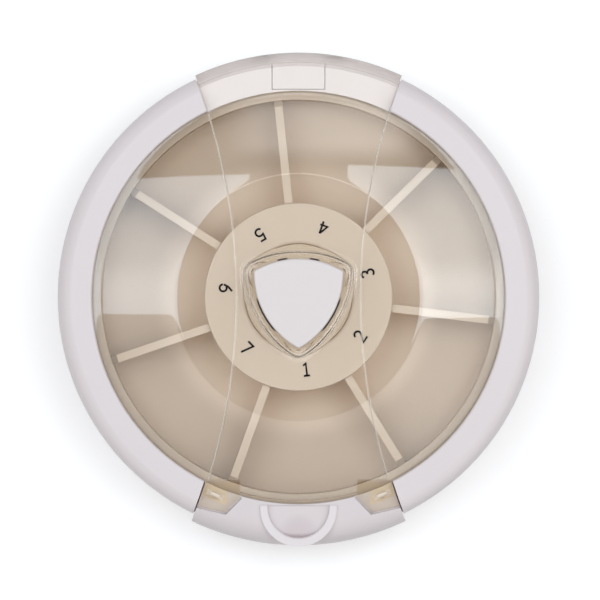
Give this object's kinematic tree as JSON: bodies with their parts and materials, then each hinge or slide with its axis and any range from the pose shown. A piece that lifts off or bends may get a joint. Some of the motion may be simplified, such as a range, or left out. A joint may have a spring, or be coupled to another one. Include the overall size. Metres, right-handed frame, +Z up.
{
  "type": "pill dispenser",
  "caption": "Round push-button pill dispenser: a turning tray of numbered compartments under clear windows, with a clear hinged lid and a thumb latch.",
  "frame": {"origin": "on the tray's axis, at the level of the surface that the feet stand on", "axes": "+Z up along the tray's axis, +Y to the back where the lid's hinge is, -Y to the front where the thumb latch is"},
  "size_m": [0.11, 0.1126, 0.0292],
  "materials": {
    "white_plastic": "satin moulded white plastic",
    "button_plastic": "smooth white moulded plastic",
    "clear_plastic": "clear smoke-tinted polished plastic",
    "beige_plastic": "matt moulded beige plastic",
    "slip_plastic": "smooth low-friction plastic",
    "steel": "bright steel",
    "rubber_pad": "soft grey rubber",
    "black_ink": "matt black print"
  },
  "bodies": {
    "casing": {"base_shell": "white_plastic", "base_feet": "rubber_pad", "rim_ring": "white_plastic", "casing_screws": "steel", "left_window": "clear_plastic", "right_window": "clear_plastic", "hinge_block": "white_plastic", "hinge_pin": "steel", "latch_pin": "steel", "centre_post": "steel", "post_screw": "steel", "retaining_clip": "steel", "thrust_washer": "slip_plastic", "detent_spring": "steel"},
    "lid": {"clear_lid": "clear_plastic"},
    "latch": {"front_latch": "white_plastic"},
    "button": {"button_cap": "button_plastic", "button_plunger": "beige_plastic", "return_spring": "steel"},
    "rotor": {"drive_rotor": "beige_plastic"},
    "tray": {"ratchet_ring": "beige_plastic", "pill_tray": "beige_plastic", "number_disc": "beige_plastic", "printed_numerals": "black_ink"}
  },
  "joints": [
    {"name": "button_press", "type": "slide", "parent": "casing", "child": "button", "axis": [0, 0, -1], "range_m": [0, 0.0045], "stiffness_N_per_m": 600, "springref_m": -0.002, "deforming": ["return_spring"]},
    {"name": "rotor_turn", "type": "hinge", "parent": "casing", "child": "rotor", "pos_m": [0, 0, 0.01], "axis": [0, 0, 1], "range_deg": [-52, 0]},
    {"name": "tray_turn", "type": "hinge", "parent": "casing", "child": "tray", "pos_m": [0, 0, 0.006], "axis": [0, 0, 1], "continuous": true},
    {"name": "lid_open", "type": "hinge", "parent": "casing", "child": "lid", "pos_m": [0, 0.0532, 0.013], "axis": [-1, 0, 0], "range_deg": [0, 100]},
    {"name": "latch_press", "type": "hinge", "parent": "casing", "child": "latch", "pos_m": [0, -0.04925, 0.0125], "axis": [1, 0, 0], "range_deg": [0, 2.6], "stiffness_Nm_per_rad": 0.3, "springref_deg": -2.86}
  ],
  "couplings": [
    {"joint": "rotor_turn", "follows": "button_press", "rad_per_m": -199.47}
  ]
}
